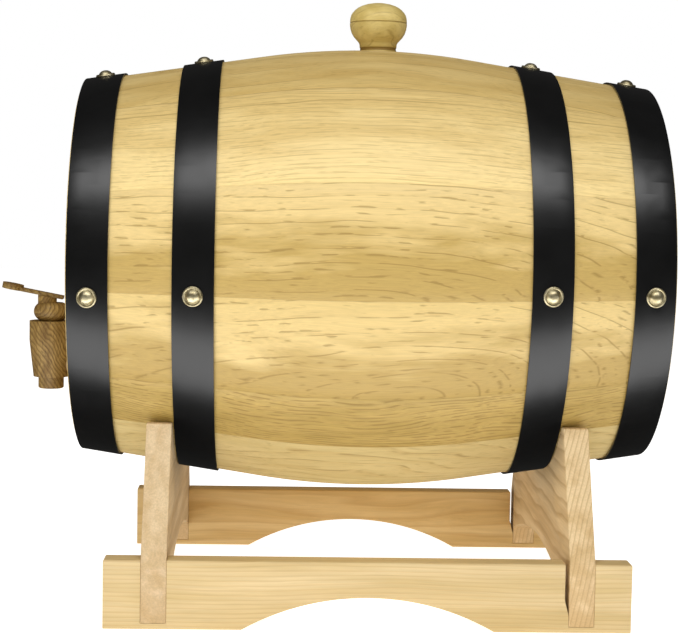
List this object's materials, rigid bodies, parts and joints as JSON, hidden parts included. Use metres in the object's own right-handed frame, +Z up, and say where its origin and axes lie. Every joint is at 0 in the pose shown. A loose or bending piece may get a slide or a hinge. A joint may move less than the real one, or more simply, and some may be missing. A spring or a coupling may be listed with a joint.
{
  "type": "oak wine barrel",
  "caption": "Small oak barrel with black hoops and brass nails, lying on a pine cradle stand, with a turned bung on top and a wooden tap in one head.",
  "frame": {"origin": "on the floor, in the middle of the whole object's length and width", "axes": "+X along the barrel towards the plain end, the tap is at the -X end; +Y to the back of the stand; +Z up"},
  "size_m": [0.3682, 0.25, 0.3363],
  "materials": {
    "oak_staves": "planed, clear satin",
    "oak_heads": "planed, clear satin",
    "black_hoops": "satin black paint",
    "brass_nails": "antique brass, domed",
    "turned_bung": "turned and sanded oak",
    "tap_wood": "turned and oiled hardwood",
    "tap_stem_wood": "turned, unfinished",
    "pine_rails": "planed, unfinished pine",
    "pine_cradles": "sawn and sanded pine"
  },
  "bodies": {
    "stand": {"rail_front": "pine_rails", "rail_back": "pine_rails", "cradle_left": "pine_cradles", "cradle_right": "pine_cradles"},
    "barrel": {"stave_01": "oak_staves", "stave_02": "oak_staves", "stave_03": "oak_staves", "stave_04": "oak_staves", "stave_05": "oak_staves", "stave_06": "oak_staves", "stave_07": "oak_staves", "stave_08": "oak_staves", "stave_09": "oak_staves", "stave_10": "oak_staves", "stave_11": "oak_staves", "stave_12": "oak_staves", "stave_13": "oak_staves", "stave_14": "oak_staves", "head_left_board_1": "oak_heads", "head_left_board_2": "oak_heads", "head_left_board_3": "oak_heads", "head_left_board_4": "oak_heads", "head_left_board_5": "oak_heads", "head_right_board_1": "oak_heads", "head_right_board_2": "oak_heads", "head_right_board_3": "oak_heads", "head_right_board_4": "oak_heads", "head_right_board_5": "oak_heads", "hoop_quarter_left": "black_hoops", "hoop_head_left": "black_hoops", "hoop_quarter_right": "black_hoops", "hoop_head_right": "black_hoops", "nails_quarter_left": "brass_nails", "nails_head_left": "brass_nails", "nails_quarter_right": "brass_nails", "nails_head_right": "brass_nails"},
    "bung": {"bung": "turned_bung"},
    "tap": {"tap_body": "tap_wood", "tap_stem": "tap_stem_wood"},
    "key": {"tap_key": "tap_wood", "tap_lever": "tap_wood"}
  },
  "joints": [
    {"name": "barrel_lift", "type": "slide", "parent": "stand", "child": "barrel", "axis": [0, 0, 1], "range_m": [0, 0.12]},
    {"name": "bung_pull", "type": "slide", "parent": "barrel", "child": "bung", "axis": [0, 0, 1], "range_m": [0, 0.05]},
    {"name": "tap_pull", "type": "slide", "parent": "barrel", "child": "tap", "axis": [-1, 0, 0], "range_m": [0, 0.05]},
    {"name": "key_turn", "type": "hinge", "parent": "tap", "child": "key", "pos_m": [-0.15575, 0, 0.15], "axis": [0, 0, 1], "range_deg": [-90, 90]}
  ]
}
